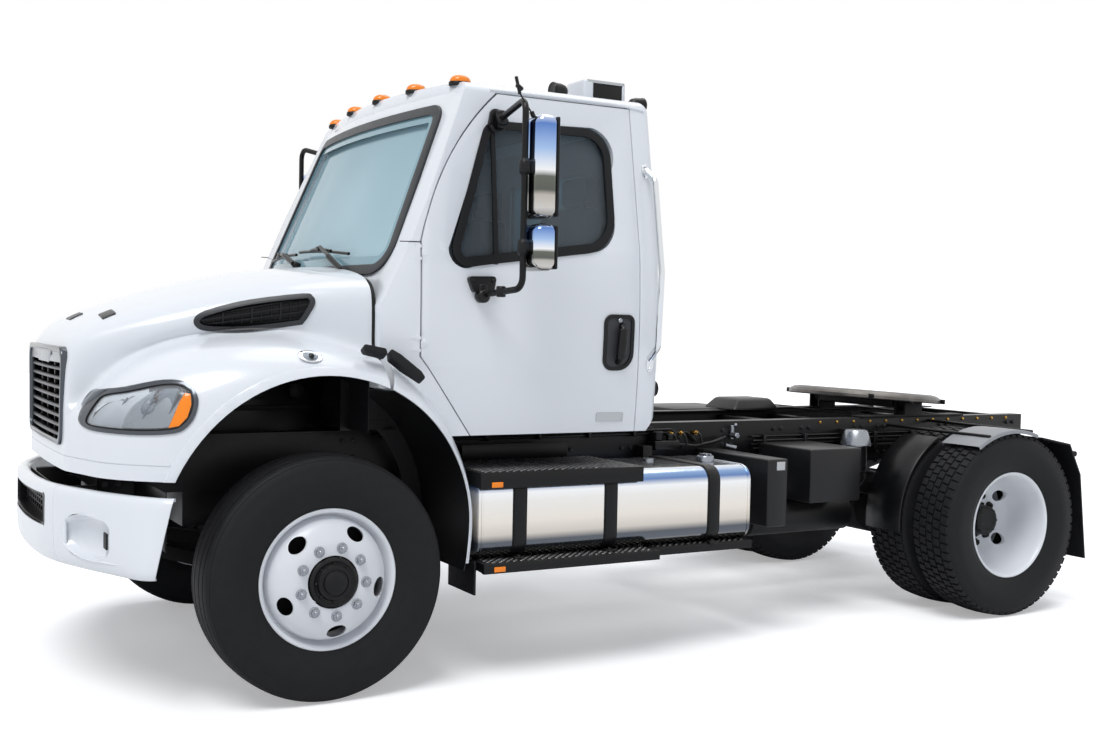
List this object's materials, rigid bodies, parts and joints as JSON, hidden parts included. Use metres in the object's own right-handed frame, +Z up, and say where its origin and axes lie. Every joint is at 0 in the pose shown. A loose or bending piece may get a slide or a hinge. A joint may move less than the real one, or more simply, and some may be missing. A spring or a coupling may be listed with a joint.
{
  "type": "two-axle conventional road tractor with day cab",
  "caption": "Conventional day-cab road tractor with a tilting hood, doors, steered front wheels, twin rear wheels and a pitching coupling plate for a trailer.",
  "frame": {"origin": "on the ground, at the middle of the length and of the width over the mirrors", "axes": "+X forward, +Y to the driver's left, +Z up"},
  "size_m": [6.0098, 2.904, 2.8059],
  "materials": {
    "white_paint": "gloss",
    "black_chassis": "satin",
    "white_wheel": "gloss",
    "tyre": "matt",
    "window_glass": "clear",
    "chrome": "polished",
    "polished_aluminium": "polished",
    "bare_steel": "greased",
    "cast_iron": "as cast",
    "black_rubber": "matt",
    "seat_cloth": "woven",
    "dash_plastic": "grained",
    "lamp_lens": "clear"
  },
  "bodies": {
    "chassis": {"frame_rails": "black_chassis", "front_axle_beam": "cast_iron", "leaf_springs": "black_chassis", "rear_axle": "black_chassis", "engine_block": "cast_iron", "driveline": "cast_iron", "radiator": "polished_aluminium", "front_bumper": "white_paint", "cab_floor": "white_paint", "cab_roof": "white_paint", "cab_rear": "white_paint", "cab_cowl": "white_paint", "cab_glass": "window_glass", "steering_wheel": "dash_plastic", "dashboard": "dash_plastic", "seats": "seat_cloth", "roof_lamps": "lamp_lens", "grab_handles": "black_rubber", "fender_extensions": "white_paint", "fuel_tank": "polished_aluminium", "tank_straps": "polished_aluminium", "step_brackets": "black_chassis", "cab_steps": "black_chassis", "exhaust": "bare_steel", "side_boxes": "black_chassis", "air_tanks": "black_chassis", "rear_fenders": "black_rubber", "mudflaps": "black_rubber", "fifth_wheel_base": "black_chassis"},
    "left_door": {"left_door": "white_paint", "left_door_glass": "window_glass", "left_mirror": "chrome"},
    "right_door": {"right_door": "white_paint", "right_door_glass": "window_glass", "right_mirror": "chrome"},
    "hood": {"hood_shell": "white_paint", "grille": "chrome", "headlights": "chrome"},
    "left_knuckle": {"left_knuckle": "cast_iron"},
    "right_knuckle": {"right_knuckle": "cast_iron"},
    "tie_rod": {"tie_rod": "black_chassis"},
    "left_front_wheel": {"left_front_wheel": "white_wheel", "left_front_tyre": "tyre"},
    "right_front_wheel": {"right_front_wheel": "white_wheel", "right_front_tyre": "tyre"},
    "left_rear_wheels": {"left_rear_wheels": "white_wheel", "left_rear_tyres": "tyre"},
    "right_rear_wheels": {"right_rear_wheels": "white_wheel", "right_rear_tyres": "tyre"},
    "fifth_wheel": {"fifth_wheel_plate": "bare_steel"}
  },
  "joints": [
    {"name": "left_steer", "type": "hinge", "parent": "chassis", "child": "left_knuckle", "pos_m": [1.96, 0.86, 0.52], "axis": [0, 0, 1], "range_deg": [-38, 38]},
    {"name": "right_steer", "type": "hinge", "parent": "chassis", "child": "right_knuckle", "pos_m": [1.96, -0.86, 0.52], "axis": [0, 0, 1], "range_deg": [-38, 38]},
    {"name": "tie_rod_pivot", "type": "hinge", "parent": "left_knuckle", "child": "tie_rod", "pos_m": [1.76, 0.86, 0.384], "axis": [0, 0, 1], "range_deg": [-38, 38]},
    {"name": "left_front_spin", "type": "hinge", "parent": "left_knuckle", "child": "left_front_wheel", "pos_m": [1.96, 1.022, 0.52], "axis": [0, 1, 0], "continuous": true},
    {"name": "right_front_spin", "type": "hinge", "parent": "right_knuckle", "child": "right_front_wheel", "pos_m": [1.96, -1.022, 0.52], "axis": [0, 1, 0], "continuous": true},
    {"name": "left_rear_spin", "type": "hinge", "parent": "chassis", "child": "left_rear_wheels", "pos_m": [-2.04, 0.9165, 0.52], "axis": [0, 1, 0], "continuous": true},
    {"name": "right_rear_spin", "type": "hinge", "parent": "chassis", "child": "right_rear_wheels", "pos_m": [-2.04, -0.9165, 0.52], "axis": [0, 1, 0], "continuous": true},
    {"name": "left_door_hinge", "type": "hinge", "parent": "chassis", "child": "left_door", "pos_m": [1.523, 1.064, 1.7], "axis": [0, 0, -1], "range_deg": [0, 70]},
    {"name": "right_door_hinge", "type": "hinge", "parent": "chassis", "child": "right_door", "pos_m": [1.523, -1.064, 1.7], "axis": [0, 0, 1], "range_deg": [0, 70]},
    {"name": "hood_tilt", "type": "hinge", "parent": "chassis", "child": "hood", "pos_m": [2.84, 0, 0.978], "axis": [0, 1, 0], "range_deg": [0, 70]},
    {"name": "fifth_wheel_pitch", "type": "hinge", "parent": "chassis", "child": "fifth_wheel", "pos_m": [-2.04, 0, 1.14], "axis": [0, 1, 0], "range_deg": [-8, 16]}
  ],
  "couplings": [
    {"joint": "right_steer", "follows": "left_steer", "ratio": 1},
    {"joint": "tie_rod_pivot", "follows": "left_steer", "ratio": -1}
  ]
}
